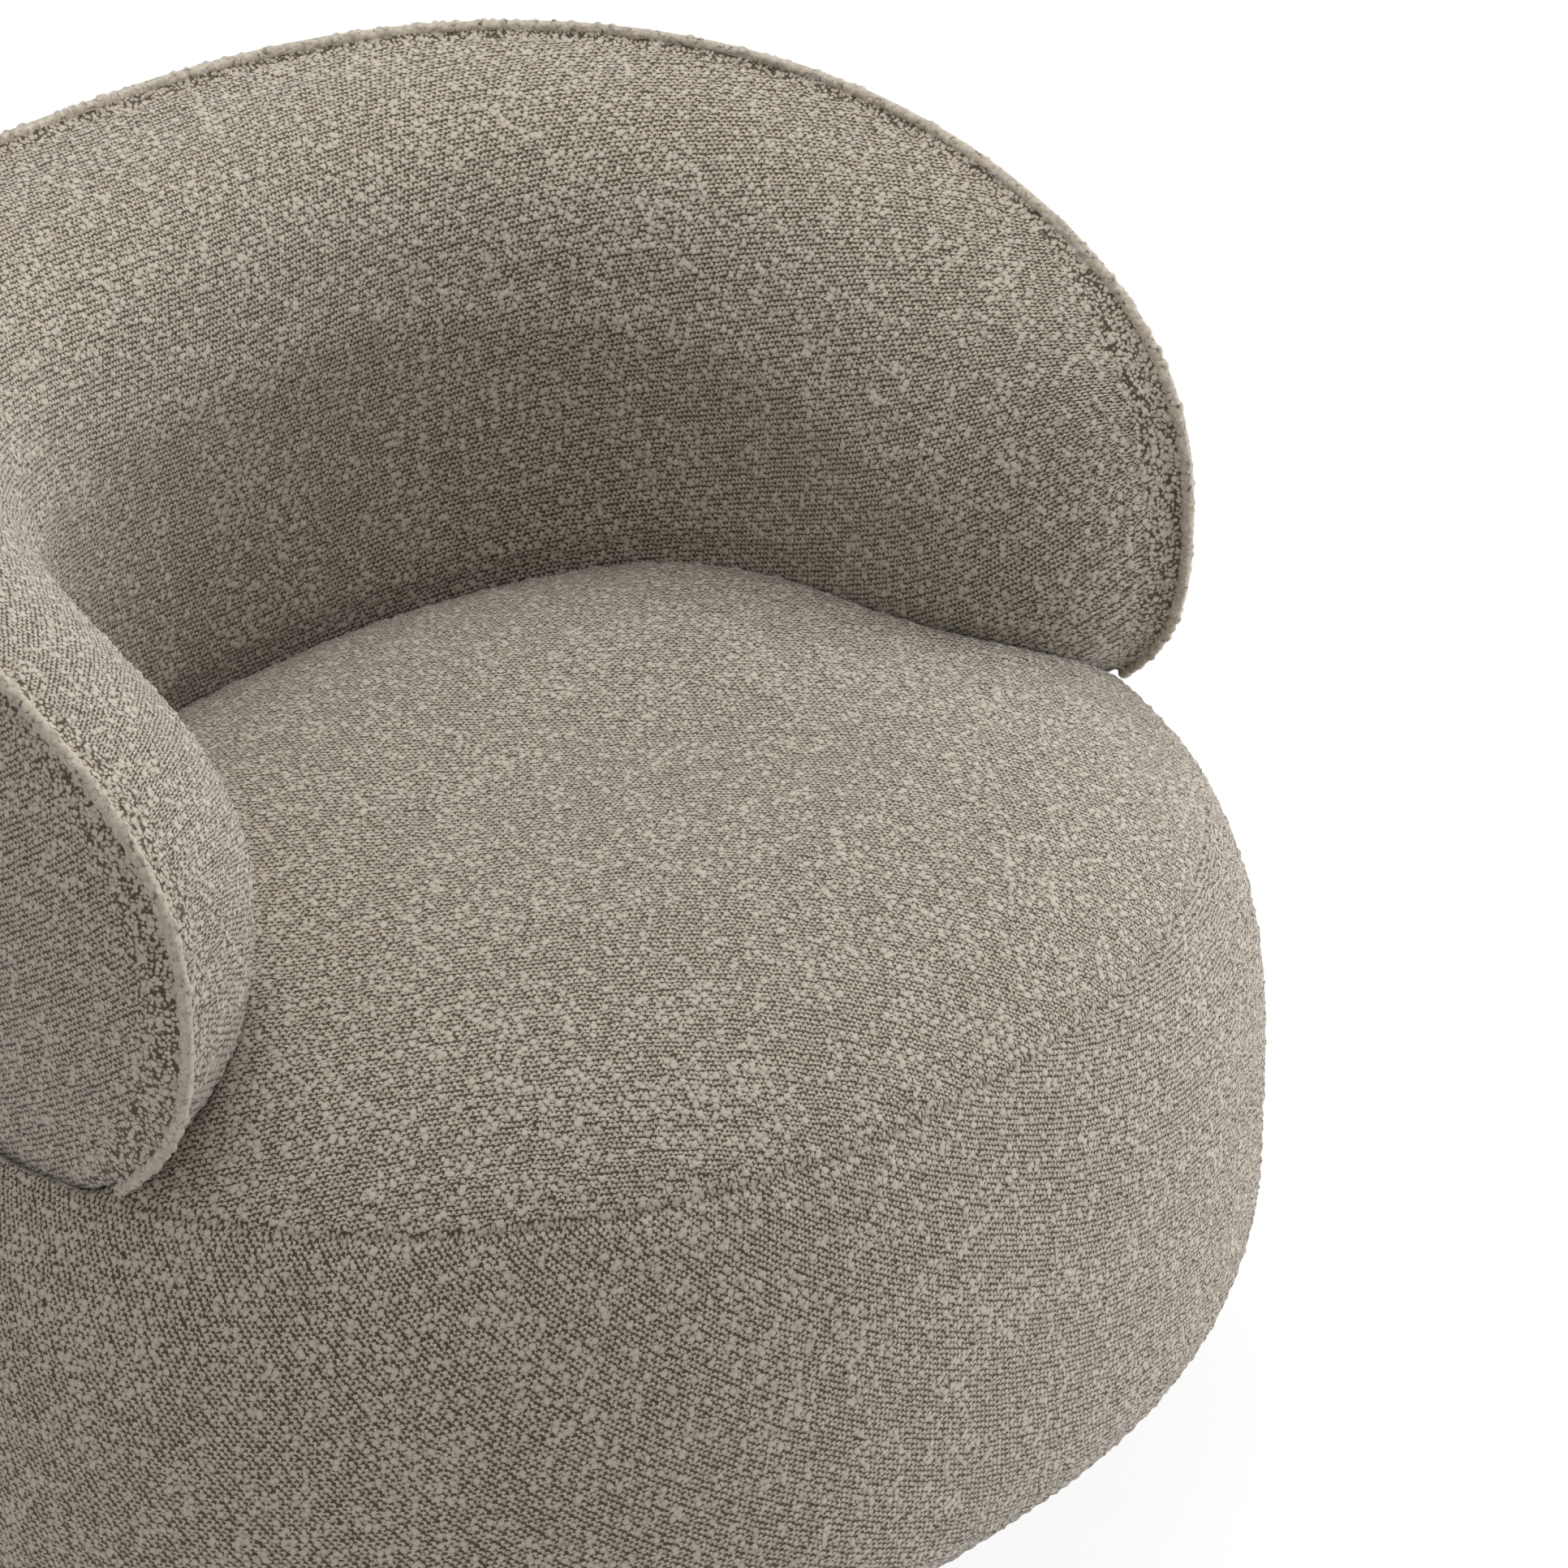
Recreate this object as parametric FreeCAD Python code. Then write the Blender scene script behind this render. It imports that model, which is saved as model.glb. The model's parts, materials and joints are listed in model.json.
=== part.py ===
import FreeCAD, Part
import math
import os
from FreeCAD import Vector

# Upholstered swivel tub chair, in millimetres.
# The origin is on the floor under the middle of the whole chair, +Z is up,
# the sitter faces -Y and +X is at the right hand of someone who looks along +Y.

# Soft covers and clearances
cover = 3.0
soft_gap = 0.5
seam_gap = 1.0
seat_gap = 0.3
drill_gap = 0.2
run_gap = 0.05
overcut = 1.0

# Round form of the seat, widest at its waist
seat_half_width = 430.0
seat_front = 355.0
seat_crown_rear = 290.0
waist_rear_swell = 90.0
shelf_rear_swell = 100.0
seat_centre_y = -13.0
seat_power = 2.13
waist_height = 143.0
crown_rise = 302.0
crown_power = 3.7
under_drop = 105.0
under_power = 2.8
crown_flat_share = 0.3
seam_height = 365.0
crease_height = 394.0

# Wrap-round back, as a pillow that follows a rounded plan
arm_setback = 52.0
back_half_width = seat_half_width - arm_setback
back_depth = 380.0
back_centre_y = -27.5
back_power = 2.46
back_middle_height = 484.0
back_rise = 216.0
back_drop = 210.0
back_wrap = math.radians(107.3)
back_arc_radius = 400.0
back_side_power = 2.84
back_top_power = 2.58
back_thickness = 130.0
back_edge_roll = 128.0
back_outer_bulge = 12.5
tip_blunt = 0.4
foam_tip_blunt = 2.0
roll_limit = 0.46
welt_radius = 3.5
welt_end_height = 372.0

# Wooden frame of the seat
shelf_height = 330.0
side_foam = 22.0
ring_foam = 9.0
ring_thickness = 24.0
ring_width = 110.0
board_thickness = 18.0
board_rim_inset = 38.0
rib_thickness = 18.0
rib_count = 10
rib_inner_radius = 130.0
rib_hole_radius = 45.0
rib_hole_centre = 255.0
rib_foot_rise = 24.0
rib_edge_shares = (0, 0.12, 0.3, 0.6, 0.85, 1)

# Webbing of the seat
strap_width = 50.0
strap_thickness = 1.2
strap_slack = 0.1
long_strap_pitch = 70.0
long_strap_count = 5
cross_strap_pitch = 70.0
cross_strap_count = 4
strap_landing = 35.0

# Wooden frame of the back
outer_foam = 9.0
back_board = 4.0
frame_depth = 22.0
board_margin = 20.0
top_rail_height = 25.0
foot_rail_height = 30.0
post_width = 40.0
post_side_gap = 1.0
post_angles = [math.radians(a) for a in (-76, -53.5, -29.5, 0, 29.5, 53.5, 76)]

# Bolts between the back and the seat, and between the seat and the swivel
bolt_radius = 4.0
bolt_head_radius = 7.5
bolt_head_height = 5.3
washer_radius = 8.0
washer_thickness = 1.6
nut_barrel_radius = 5.2
nut_flange_radius = 9.5
nut_flange_thickness = 1.5
nut_barrel_length = 12.0
back_bolt_angles = [math.radians(a) for a in (-62, -45, -14, 14, 45, 62)]

# Swivel of pressed steel plates on a ring of balls
floor_gap = 6.0
plinth_thickness = 24.0
plinth_radius = 235.0
plinth_edge_round = 4.0
plate_half = 100.0
plate_corner = 16.0
plate_thickness = 2.5
swivel_height = 14.0
race_radius = 65.0
race_width = 22.0
ball_radius = 4.0
ball_count = 20
groove_depth = 1.4
cage_thickness = 1.2
cage_width = 14.0
rivet_radius = 10.0
rivet_bore = 7.0
rivet_flange = 5.0
rivet_flange_thickness = 1.8
relief_radius = 24.0
bolt_spacing = 160.0
screw_radius = 2.5
screw_head_radius = 5.0
screw_head_height = 1.6
screw_length = 18.0

# Glides under the plinth
glide_count = 5
glide_circle = 195.0
glide_radius = 16.0
glide_chamfer = 1.0
glide_recess_radius = 7.0
glide_recess_depth = 3.0

# Dust cover under the seat
dust_thickness = 1.0
hem_width = 50.0

# Stations that the soft forms are lofted through, crowded toward the arms' ends
ball_station_gap = 32.0
crown_stations = 8
back_stations = 8
back_crowding = 2.2
welt_station_gap = 18.0
curve_steps = 4000

plinth_top = floor_gap + plinth_thickness
seat_bottom = plinth_top + swivel_height
board_top = seat_bottom + board_thickness
ring_bottom = shelf_height - ring_thickness
frame_front = outer_foam + back_board
frame_back = frame_front + frame_depth
inner_board_face = frame_back + back_board
foot_rail_top = shelf_height + foot_rail_height
soft_floor = shelf_height + strap_thickness + strap_slack


# Small helpers

def arc(first, middle, last):
    return Part.Arc(first, middle, last).toShape()


def line(first, last):
    return Part.LineSegment(first, last).toShape()


def polygon(points):
    return Part.Wire([line(a, b) for a, b in zip(points, points[1:] + points[:1])])


def loft(wires, ruled=False):
    return Part.makeLoft(wires, True, ruled)


def smooth(share):
    share = min(max(share, 0.0), 1.0)
    return share * share * (3 - 2 * share)


def mirrored_steps(count):
    steps = []
    for k in range(-count, count + 1):
        steps.append(math.copysign(1 - (1 - abs(k) / count) ** back_crowding, k))
    return steps


def evenly_spaced(first, last, point_at, gap):
    """Parameters of points that lie about a gap apart along a curve."""
    fine = [first + (last - first) * k / curve_steps for k in range(curve_steps + 1)]
    points = [point_at(value) for value in fine]
    runs = [0.0]
    for here, there in zip(points, points[1:]):
        runs.append(runs[-1] + here.distanceToPoint(there))
    count = max(round(runs[-1] / gap), 3)
    chosen = [next(v for v, run in zip(fine, runs) if run >= runs[-1] * k / count)
              for k in range(count)]
    return chosen + [last]


def above(shape, height):
    size = 4 * seat_half_width
    room_below = Part.makeBox(size, size, size, Vector(-size / 2, -size / 2, height - size))
    return shape.cut(room_below)


def below(shape, height):
    size = 4 * seat_half_width
    room_above = Part.makeBox(size, size, size, Vector(-size / 2, -size / 2, height))
    return shape.cut(room_above)


def rod(radius, low, high, x=0.0, y=0.0):
    return Part.makeCylinder(radius, high - low, Vector(x, y, low))


def turned(shape, angle):
    turn = shape.copy()
    turn.rotate(Vector(0, 0, 0), Vector(0, 0, 1), math.degrees(angle))
    return turn


def save(name, shapes):
    pieces = shapes if isinstance(shapes, list) else [shapes]
    solids = []
    for piece in pieces:
        solids += piece.Solids
    shape = solids[0] if len(solids) == 1 else Part.Compound(solids)
    shape.exportStep("parts/" + name + ".step")
    volume = sum(s.Volume for s in solids) / 1000
    print("%-22s %3d solids %10.1f cm3 valid %s" % (name, len(solids), volume, shape.isValid()))


# Plan outlines of the seat

def plan_point(angle, half_width, front, rear, z):
    c, s = math.cos(angle), math.sin(angle)
    reach = rear if s > 0 else front
    x = half_width * math.copysign(abs(c) ** (2 / seat_power), c)
    y = reach * math.copysign(abs(s) ** (2 / seat_power), s)
    return Vector(x, seat_centre_y + y, z)


def plan_wire(half_width, front, rear, z):
    edges = []
    step = math.pi / 4
    for k in range(8):
        points = [plan_point(a * step, half_width, front, rear, z) for a in (k, k + 0.5, k + 1)]
        edges.append(arc(*points))
    return Part.Wire(edges)


def ball_rise(z, inset):
    return (crown_rise if z > waist_height else under_drop) - inset


def ball_power(z):
    return crown_power if z > waist_height else under_power


def ball_extents(z, inset):
    power = ball_power(z)
    share = min(abs(z - waist_height) / ball_rise(z, inset), 1.0)
    scale = (1 - share ** power) ** (1 / power)
    swell = waist_rear_swell + (shelf_rear_swell - waist_rear_swell) * smooth(
        (z - waist_height) / (shelf_height - waist_height))
    swell *= 1 - smooth((z - shelf_height) / (crease_height - shelf_height))
    half_width = (seat_half_width - inset) * scale
    return half_width, (seat_front - inset) * scale, (seat_crown_rear - inset) * scale + swell


def ball_wire(z, inset):
    return plan_wire(*ball_extents(z, inset), z)


def ball_angle(z, inset):
    """Angle of a height on the ball's side view: zero at the waist, a quarter turn at the crown."""
    share = min(abs(z - waist_height) / ball_rise(z, inset), 1.0)
    return math.copysign(math.asin(share ** (ball_power(z) / 2)), z - waist_height)


def ball_side_point(angle, inset):
    power = crown_power if angle > 0 else under_power
    rise = (crown_rise if angle > 0 else under_drop) - inset
    z = waist_height + math.copysign(rise * abs(math.sin(angle)) ** (2 / power), angle)
    return Vector((seat_half_width - inset) * math.cos(angle) ** (2 / power), 0, z)


def ball_top(inset):
    return waist_height + (crown_rise - inset) * (1 - crown_flat_share ** crown_power) ** (1 / crown_power)


def ball_under_shelf(inset):
    first, last = ball_angle(seat_bottom, inset), ball_angle(shelf_height, inset)
    angles = evenly_spaced(first, last, lambda angle: ball_side_point(angle, inset), ball_station_gap)
    heights = [ball_side_point(angle, inset).z for angle in angles[1:-1]]
    return loft([ball_wire(z, inset) for z in [seat_bottom] + heights + [shelf_height]])


def ball_over_shelf(inset):
    first, last = ball_angle(shelf_height, inset), ball_angle(ball_top(inset), inset)
    steps = [first + (last - first) * k / crown_stations for k in range(1, crown_stations)]
    heights = [ball_side_point(angle, inset).z for angle in steps]
    return loft([ball_wire(z, inset) for z in [shelf_height] + heights + [ball_top(inset)]])


# Cross-sections of the back, in vertical planes square to its plan

def back_frame(turn):
    s, c = math.sin(turn), math.cos(turn)
    share = abs(s / back_half_width) ** back_power + abs(c / back_depth) ** back_power
    radius = share ** (-1 / back_power)
    x, y = radius * s, radius * c
    slope_x = math.copysign(abs(x / back_half_width) ** (back_power - 1), s) / back_half_width
    slope_y = math.copysign(abs(y / back_depth) ** (back_power - 1), c) / back_depth
    outward = Vector(slope_x, slope_y, 0).normalize()
    return Vector(x, back_centre_y + y, 0), outward


def back_point(turn, depth, z):
    foot, outward = back_frame(turn)
    return foot - outward * depth + Vector(0, 0, z)


def back_reach(inset):
    return back_wrap - inset / back_arc_radius


def back_outline(turn, inset):
    share = min(abs(turn) / back_reach(inset), 1.0)
    height = (1 - share ** back_side_power) ** (1 / back_top_power)
    top = back_middle_height + (back_rise - inset) * height
    return top, back_middle_height - (back_drop - inset) * height


def back_depth_at(turn, inset):
    run = (back_reach(inset) - abs(turn)) * back_arc_radius
    share = min(run / back_edge_roll, 1.0)
    return (back_thickness - inset) * math.sqrt(1 - (1 - share) ** 2)


def inner_curve(turn, inset, start=0.0):
    """Points of the plump inside face, from its top seam down to its bottom seam."""
    top, bottom = back_outline(turn, inset)
    depth = back_depth_at(turn, inset)
    roll = min(back_edge_roll - inset, roll_limit * (top - bottom))
    first = math.asin(min(start / depth, 1.0))
    half = math.pi / 4
    points = []
    for angle in (first, (first + half) / 2, half, 1.5 * half, 2 * half):
        points.append((depth * math.sin(angle), roll - roll * math.cos(angle)))
    upper = [back_point(turn, d, top - fall) for d, fall in points]
    lower = [back_point(turn, d, bottom + fall) for d, fall in reversed(points)]
    return upper, lower


def inner_edges(upper, lower):
    return [arc(*upper[:3]), arc(*upper[2:]), line(upper[-1], lower[0]),
            arc(*lower[:3]), arc(*lower[2:])]


def outer_points(turn, inset, skin):
    top, bottom = back_outline(turn, inset)
    bulge = back_outer_bulge * back_depth_at(turn, inset) / back_thickness
    middle = (top + bottom) / 2
    return [back_point(turn, -skin, bottom), back_point(turn, -skin - bulge, middle),
            back_point(turn, -skin, top)]


def stations_of(inset, blunt=tip_blunt):
    last = back_reach(inset) - blunt / back_arc_radius
    return [last * step for step in mirrored_steps(back_stations)]


def pillow(inset, skin):
    wires = []
    for turn in stations_of(inset):
        upper, lower = inner_curve(turn, inset)
        outer = outer_points(turn, inset, skin)
        edges = inner_edges(upper, lower)
        edges += [line(lower[-1], outer[0]), arc(*outer), line(outer[-1], upper[0])]
        wires.append(Part.Wire(edges))
    return loft(wires)


def inner_half(inset, behind):
    """Half of the pillow in front of its seam, drawn out behind the seam by a distance."""
    wires = []
    for turn in stations_of(inset):
        top, bottom = back_outline(turn, inset)
        upper, lower = inner_curve(turn, inset)
        edges = inner_edges(upper, lower)
        if behind > 0:
            corners = [lower[-1], back_point(turn, -behind, bottom),
                       back_point(turn, -behind, top), upper[0]]
            edges += [line(a, b) for a, b in zip(corners, corners[1:])]
        else:
            edges.append(line(lower[-1], upper[0]))
        wires.append(Part.Wire(edges))
    return loft(wires)


def slab_in_back(inset, near, far):
    """Upright board that follows the back's plan and, inset by a margin, its outline."""
    wires = []
    for turn in stations_of(inset):
        top, bottom = back_outline(turn, inset)
        corners = ((near, bottom), (far, bottom), (far, top), (near, top))
        wires.append(polygon([back_point(turn, d, z) for d, z in corners]))
    return loft(wires)


# Base that stays still on the floor

def circle_of(count, radius, offset=0.0):
    step = 2 * math.pi / count
    return [(radius * math.cos(k * step + offset), radius * math.sin(k * step + offset))
            for k in range(count)]


def bolt_corners():
    half = bolt_spacing / 2
    return [(x, y) for x in (-half, half) for y in (-half, half)]


glide_places = circle_of(glide_count, glide_circle, math.pi / 2)


def wood_screw(x, y, head_low, tip_up):
    """Pan-head screw; tip_up tells whether its tip points up."""
    if tip_up:
        head = rod(screw_head_radius, head_low, head_low + screw_head_height, x, y)
        shank_low = head_low + screw_head_height
        shank_high = head_low + screw_length
        tip = Part.makeCone(screw_radius, screw_radius / 4, screw_radius, Vector(x, y, shank_high))
        return head.fuse(rod(screw_radius, shank_low, shank_high, x, y)).fuse(tip)
    head = rod(screw_head_radius, head_low, head_low + screw_head_height, x, y)
    shank_low = head_low + screw_head_height - screw_length
    tip = Part.makeCone(screw_radius / 4, screw_radius, screw_radius, Vector(x, y, shank_low - screw_radius))
    return head.fuse(rod(screw_radius, shank_low, head_low, x, y)).fuse(tip)


def make_glides():
    glides = []
    for x, y in glide_places:
        foot = rod(glide_radius, 0, floor_gap, x, y)
        foot = foot.makeChamfer(glide_chamfer, [e for e in foot.Edges if e.CenterOfMass.z < drill_gap])
        foot = foot.cut(rod(glide_recess_radius, -overcut, glide_recess_depth, x, y))
        glides.append(foot.cut(rod(screw_radius + drill_gap, 0, floor_gap + overcut, x, y)))
    save("glides", glides)
    head_low = glide_recess_depth - screw_head_height
    save("glide_screws", [wood_screw(x, y, head_low, True) for x, y in glide_places])


def make_plinth():
    board = rod(plinth_radius, floor_gap, plinth_top)
    board = board.makeFillet(plinth_edge_round, [e for e in board.Edges if len(e.Vertexes) == 1])
    board = board.cut(rod(relief_radius, 0, plinth_top + overcut))
    reach = screw_length + 2 * screw_radius
    for x, y in glide_places:
        board = board.cut(rod(screw_radius + drill_gap, 0, glide_recess_depth + reach, x, y))
    for x, y in bolt_corners():
        board = board.cut(rod(screw_radius + drill_gap, plinth_top - reach, plinth_top + overcut, x, y))
    save("plinth_board", board)
    head_low = plinth_top + plate_thickness
    save("plinth_screws", [wood_screw(x, y, head_low, False) for x, y in bolt_corners()])


def swivel_plate(low, race_side, hole_radius):
    """Square pressed plate with a raised ball race; race_side is 1 up and -1 down."""
    plate = Part.makeBox(2 * plate_half, 2 * plate_half, plate_thickness,
                         Vector(-plate_half, -plate_half, low))
    corners = [e for e in plate.Edges if abs(e.tangentAt(e.FirstParameter).z) > 0.9]
    plate = plate.makeFillet(plate_corner, corners)
    ball_height_z = plinth_top + swivel_height / 2
    race_face = ball_height_z - race_side * (ball_radius + run_gap - groove_depth)
    plate_face = low + plate_thickness if race_side > 0 else low
    race_low, race_high = sorted((plate_face, race_face))
    inner, outer = race_radius - race_width / 2, race_radius + race_width / 2
    race = rod(outer, race_low, race_high).cut(rod(inner, race_low - overcut, race_high + overcut))
    plate = plate.fuse(race)
    groove = Part.makeTorus(race_radius, ball_radius + run_gap, Vector(0, 0, ball_height_z))
    plate = plate.cut(groove)
    plate = plate.cut(rod(rivet_radius + run_gap, low - overcut, low + swivel_height))
    for x, y in bolt_corners():
        plate = plate.cut(rod(hole_radius, low - overcut, low + plate_thickness + overcut, x, y))
    return plate


def make_swivel():
    middle = plinth_top + swivel_height / 2
    top_plate_low = seat_bottom - plate_thickness
    save("swivel_lower_plate", swivel_plate(plinth_top, 1, screw_radius + drill_gap))
    save("swivel_upper_plate", swivel_plate(top_plate_low, -1, bolt_radius + drill_gap))
    places = circle_of(ball_count, race_radius)
    save("swivel_balls", [Part.makeSphere(ball_radius, Vector(x, y, middle)) for x, y in places])
    cage = rod(race_radius + cage_width / 2, middle - cage_thickness / 2, middle + cage_thickness / 2)
    cut_low, cut_high = middle - overcut, middle + overcut
    cage = cage.cut(rod(race_radius - cage_width / 2, cut_low, cut_high))
    for x, y in places:
        cage = cage.cut(rod(ball_radius + run_gap, cut_low, cut_high, x, y))
    save("swivel_ball_cage", cage)
    rivet_top = seat_bottom + seat_gap
    rivet = rod(rivet_radius, plinth_top - rivet_flange_thickness, rivet_top + rivet_flange_thickness)
    rivet = rivet.fuse(rod(rivet_radius + rivet_flange, plinth_top - rivet_flange_thickness, plinth_top))
    rivet = rivet.fuse(rod(rivet_radius + rivet_flange, rivet_top, rivet_top + rivet_flange_thickness))
    rivet = rivet.cut(rod(rivet_bore, 0, rivet_top + swivel_height))
    save("swivel_rivet", rivet)


# Fastenings

def hex_head(radius, low, height, x, y):
    corners = [Vector(x + px, y + py, low) for px, py in circle_of(6, radius)]
    return Part.Face(polygon(corners)).extrude(Vector(0, 0, height))


def bolt_up(x, y, seat_z, tip_z):
    """Bolt whose head is under seat_z and whose tip points up."""
    head = hex_head(bolt_head_radius, seat_z - bolt_head_height, bolt_head_height, x, y)
    return head.fuse(rod(bolt_radius, seat_z, tip_z, x, y))


def t_nut(x, y, top):
    """T-nut whose flange lies on the wood at top and whose barrel points down."""
    nut = rod(nut_flange_radius, top, top + nut_flange_thickness, x, y)
    nut = nut.fuse(rod(nut_barrel_radius, top - nut_barrel_length, top, x, y))
    high = top + nut_flange_thickness + overcut
    return nut.cut(rod(bolt_radius + run_gap, top - nut_barrel_length - overcut, high, x, y))


def nut_hole(x, y, top, bottom):
    hole = rod(bolt_radius + drill_gap, bottom - overcut, top + overcut, x, y)
    barrel_low = top - nut_barrel_length - drill_gap
    return hole.fuse(rod(nut_barrel_radius + drill_gap, barrel_low, top + overcut, x, y))


def back_bolt_places():
    middle = (frame_front + frame_back) / 2
    return [back_point(turn, middle, 0) for turn in back_bolt_angles]


def make_fastenings():
    bolt_seat = seat_bottom - plate_thickness
    save("swivel_bolts", [bolt_up(x, y, bolt_seat, board_top) for x, y in bolt_corners()])
    save("swivel_t_nuts", [t_nut(x, y, board_top) for x, y in bolt_corners()])
    washer_low = ring_bottom - washer_thickness
    bolts, washers, nuts = [], [], []
    for place in back_bolt_places():
        bolts.append(bolt_up(place.x, place.y, washer_low, foot_rail_top))
        washer = rod(washer_radius, washer_low, ring_bottom, place.x, place.y)
        hole = rod(bolt_radius + drill_gap, washer_low - overcut, ring_bottom + overcut, place.x, place.y)
        washers.append(washer.cut(hole))
        nuts.append(t_nut(place.x, place.y, foot_rail_top))
    save("back_bolts", bolts)
    save("back_washers", washers)
    save("back_t_nuts", nuts)


# Seat frame

def board_wire(z, inset):
    half_width, front, rear = ball_extents(seat_bottom, 0.0)
    return plan_wire(half_width - inset, front - inset, rear - inset, z)


def rib_space(inset):
    """Room inside the side foam, straight at the base board and then following the ball."""
    board_inset = board_rim_inset + inset - cover - side_foam
    knee = board_top + rib_foot_rise
    heights = [knee + (ring_bottom - knee) * share for share in rib_edge_shares]
    wires = [board_wire(seat_bottom, board_inset), board_wire(board_top, board_inset)]
    wires += [ball_wire(z, inset) for z in heights]
    return loft(wires, ruled=True)


def ring_space(inset):
    wire = ball_wire(shelf_height, inset)
    return Part.Face(wire).extrude(Vector(0, 0, -ring_thickness))


def make_seat_frame():
    board = Part.Face(board_wire(seat_bottom, board_rim_inset + seat_gap))
    board = board.extrude(Vector(0, 0, board_thickness))
    board = board.cut(rod(relief_radius, seat_bottom - overcut, board_top + overcut))
    for x, y in bolt_corners():
        board = board.cut(nut_hole(x, y, board_top, seat_bottom))
    save("base_board", board)

    room = rib_space(cover + side_foam + seat_gap)
    reach = 2 * seat_half_width
    blank = Part.makeBox(reach, rib_thickness, ring_bottom - board_top,
                         Vector(rib_inner_radius, -rib_thickness / 2, board_top))
    hole_place = Vector(rib_hole_centre, -reach / 2, (board_top + ring_bottom) / 2)
    hole = Part.makeCylinder(rib_hole_radius, reach, hole_place, Vector(0, 1, 0))
    blank = blank.cut(hole)
    ribs = []
    for k in range(rib_count):
        rib = turned(blank, math.pi / 2 + 2 * math.pi * k / rib_count).common(room)
        ribs.append(rib)
    save("seat_ribs", ribs)

    ring = ring_space(cover + ring_foam + seat_gap)
    half_width, front, rear = ball_extents(shelf_height, cover + side_foam)
    cut_low, cut_high = ring_bottom - overcut, shelf_height + overcut
    inner = plan_wire(half_width - ring_width, front - ring_width, rear - ring_width, cut_high)
    ring = ring.cut(Part.Face(inner).extrude(Vector(0, 0, cut_low - cut_high)))
    for place in back_bolt_places():
        ring = ring.cut(rod(bolt_radius + drill_gap, cut_low, cut_high, place.x, place.y))
    save("seat_top_ring", ring)


def strap(length_low, length_high, crossings, first_over):
    """Side view of one strap along X, woven over and under the crossings."""
    lift = strap_thickness / 2 + strap_slack
    rest = shelf_height + strap_thickness / 2
    middle = shelf_height + strap_thickness + strap_slack
    stops = [(length_low, rest), (length_low + strap_landing, rest)]
    over = first_over
    for place in crossings:
        level = middle + (lift if over else -lift)
        stops += [(place - strap_width / 2, level), (place + strap_width / 2, level)]
        over = not over
    stops += [(length_high - strap_landing, rest), (length_high, rest)]
    half = strap_thickness / 2
    points = [Vector(x, -strap_width / 2, z - half) for x, z in stops]
    points += [Vector(x, -strap_width / 2, z + half) for x, z in reversed(stops)]
    return Part.Face(polygon(points)).extrude(Vector(0, strap_width, 0))


def centred(count, pitch):
    return [(k - (count - 1) / 2) * pitch for k in range(count)]


def make_webbing():
    half_width, front, rear = ball_extents(shelf_height, cover + side_foam)
    open_half = half_width - ring_width
    open_front, open_rear = front - ring_width, rear - ring_width
    middle_y = seat_centre_y + (open_rear - open_front) / 2
    long_x = centred(long_strap_count, long_strap_pitch)
    cross_y = [middle_y + place for place in centred(cross_strap_count, cross_strap_pitch)]

    def plan_reach(offset, across, along):
        return along * (1 - abs(offset / across) ** seat_power) ** (1 / seat_power)

    long_straps = []
    for k, x in enumerate(long_x):
        edge = abs(x) + strap_width / 2
        low = seat_centre_y - plan_reach(edge, open_half, open_front) - strap_landing
        high = seat_centre_y + plan_reach(edge, open_half, open_rear) + strap_landing
        piece = turned(strap(low, high, cross_y, k % 2 == 0), math.pi / 2)
        piece.translate(Vector(x, 0, 0))
        long_straps.append(piece)
    save("seat_webbing_long", long_straps)

    cross_straps = []
    for k, y in enumerate(cross_y):
        edge = abs(y - seat_centre_y) + strap_width / 2
        along = open_rear if y > seat_centre_y else open_front
        reach = plan_reach(edge, along, open_half) + strap_landing
        piece = strap(-reach, reach, long_x, k % 2 == 1)
        piece.translate(Vector(0, y, 0))
        cross_straps.append(piece)
    save("seat_webbing_cross", cross_straps)


# Soft parts of the seat

def make_seat_soft(envelope):
    side = ball_under_shelf(cover)
    side = side.cut(rib_space(cover + side_foam)).cut(ring_space(cover + ring_foam))
    save("seat_side_foam", side)

    foam_low = shelf_height + 2 * strap_thickness + 2 * strap_slack
    foam = above(ball_over_shelf(cover), foam_low)
    save("seat_foam", foam.cut(envelope))

    hollow = cover - soft_gap
    crown = ball_over_shelf(0.0).cut(ball_over_shelf(hollow)).cut(envelope)
    save("seat_cover_top", above(crown, seam_height))

    side = ball_under_shelf(0.0).cut(ball_under_shelf(hollow))
    band = side.fuse(below(crown, seam_height))
    hem_plan = board_wire(seat_bottom - cover, 0.0)
    hem = Part.Face(hem_plan).extrude(Vector(0, 0, cover))
    opening = Part.Face(board_wire(seat_bottom - cover, hem_width)).extrude(Vector(0, 0, cover))
    save("seat_cover_band", band.fuse(hem.cut(opening)))

    dust = Part.Face(board_wire(seat_bottom - dust_thickness, hem_width + soft_gap))
    dust = dust.extrude(Vector(0, 0, dust_thickness))
    half = plate_half + soft_gap
    room = Part.makeBox(2 * half, 2 * half, seat_bottom, Vector(-half, -half, overcut))
    save("dust_cover", dust.cut(room))


# Back

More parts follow.
